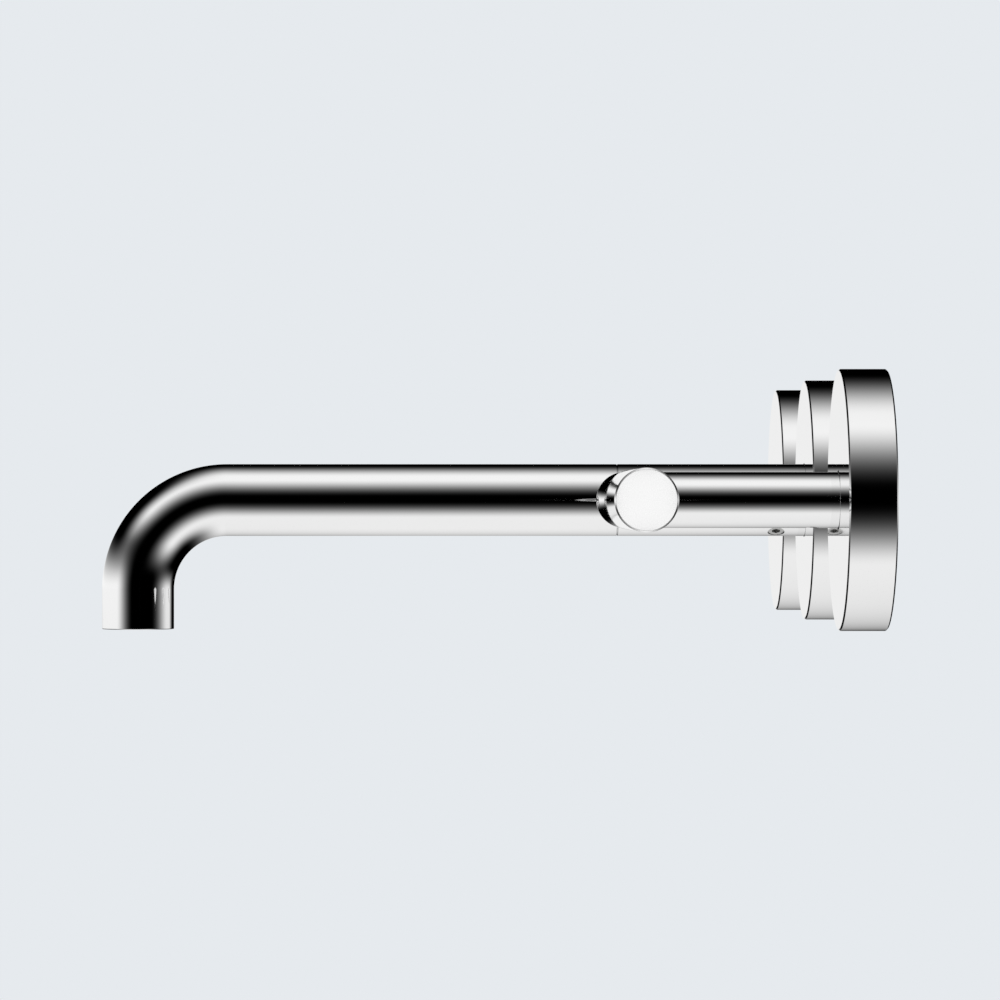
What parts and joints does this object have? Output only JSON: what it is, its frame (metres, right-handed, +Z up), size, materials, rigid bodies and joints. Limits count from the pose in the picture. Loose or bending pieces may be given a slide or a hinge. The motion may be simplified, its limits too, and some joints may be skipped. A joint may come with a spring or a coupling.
{
  "type": "wall mounted bath faucet",
  "caption": "Wall mounted bath faucet: slim round spout bent down at its end, between lever handles on flat round flanges, with its concealed valves and plate.",
  "frame": {"origin": "where the spout's axis meets the finished wall", "axes": "+Z up, +Y into the wall, +X towards the right handle as seen from the room; the spout points along -Y"},
  "size_m": [0.3692, 0.266, 0.064],
  "materials": {
    "polished_chrome": "mirror polished chrome plate",
    "brass": "machined and sand-cast brass, unplated",
    "copper": "drawn copper tube, dull",
    "steel": "zinc-grey steel, satin",
    "seal_rubber": "black nitrile rubber",
    "plastic": "off-white moulded acetal",
    "ceramic": "lapped alumina, smooth"
  },
  "bodies": {
    "fixed_set": {"spout_tube": "polished_chrome", "spout_base": "polished_chrome", "spout_flange": "polished_chrome", "spout_flange_seal": "seal_rubber", "spout_set_screw": "steel", "spout_nipple": "brass", "nipple_seals": "seal_rubber", "aerator_housing": "polished_chrome", "aerator_insert": "plastic", "aerator_washer": "seal_rubber", "spout_tee": "brass", "mounting_plate": "steel", "body_locknuts": "brass", "flange_right": "polished_chrome", "flange_seal_right": "seal_rubber", "mounting_sleeve_right": "brass", "glide_bush_right": "plastic", "valve_body_right": "brass", "cartridge_body_right": "brass", "cartridge_seal_right": "seal_rubber", "ceramic_disc_fixed_right": "ceramic", "cross_tube_right": "copper", "flange_left": "polished_chrome", "flange_seal_left": "seal_rubber", "mounting_sleeve_left": "brass", "glide_bush_left": "plastic", "valve_body_left": "brass", "cartridge_body_left": "brass", "cartridge_seal_left": "seal_rubber", "ceramic_disc_fixed_left": "ceramic", "cross_tube_left": "copper"},
    "handle_right": {"ceramic_disc_turning_right": "ceramic", "spindle_right": "brass", "stem_adapter_right": "brass", "hub_right": "polished_chrome", "hub_set_screw_right": "steel", "lever_right": "polished_chrome", "lever_stud_right": "steel"},
    "handle_left": {"ceramic_disc_turning_left": "ceramic", "spindle_left": "brass", "stem_adapter_left": "brass", "hub_left": "polished_chrome", "hub_set_screw_left": "steel", "lever_left": "polished_chrome", "lever_stud_left": "steel"}
  },
  "joints": [
    {"name": "handle_right_turn", "type": "hinge", "parent": "fixed_set", "child": "handle_right", "pos_m": [0.1016, 0, 0], "axis": [0, 1, 0], "range_deg": [0, 90]},
    {"name": "handle_left_turn", "type": "hinge", "parent": "fixed_set", "child": "handle_left", "pos_m": [-0.1016, 0, 0], "axis": [0, -1, 0], "range_deg": [0, 90]}
  ]
}
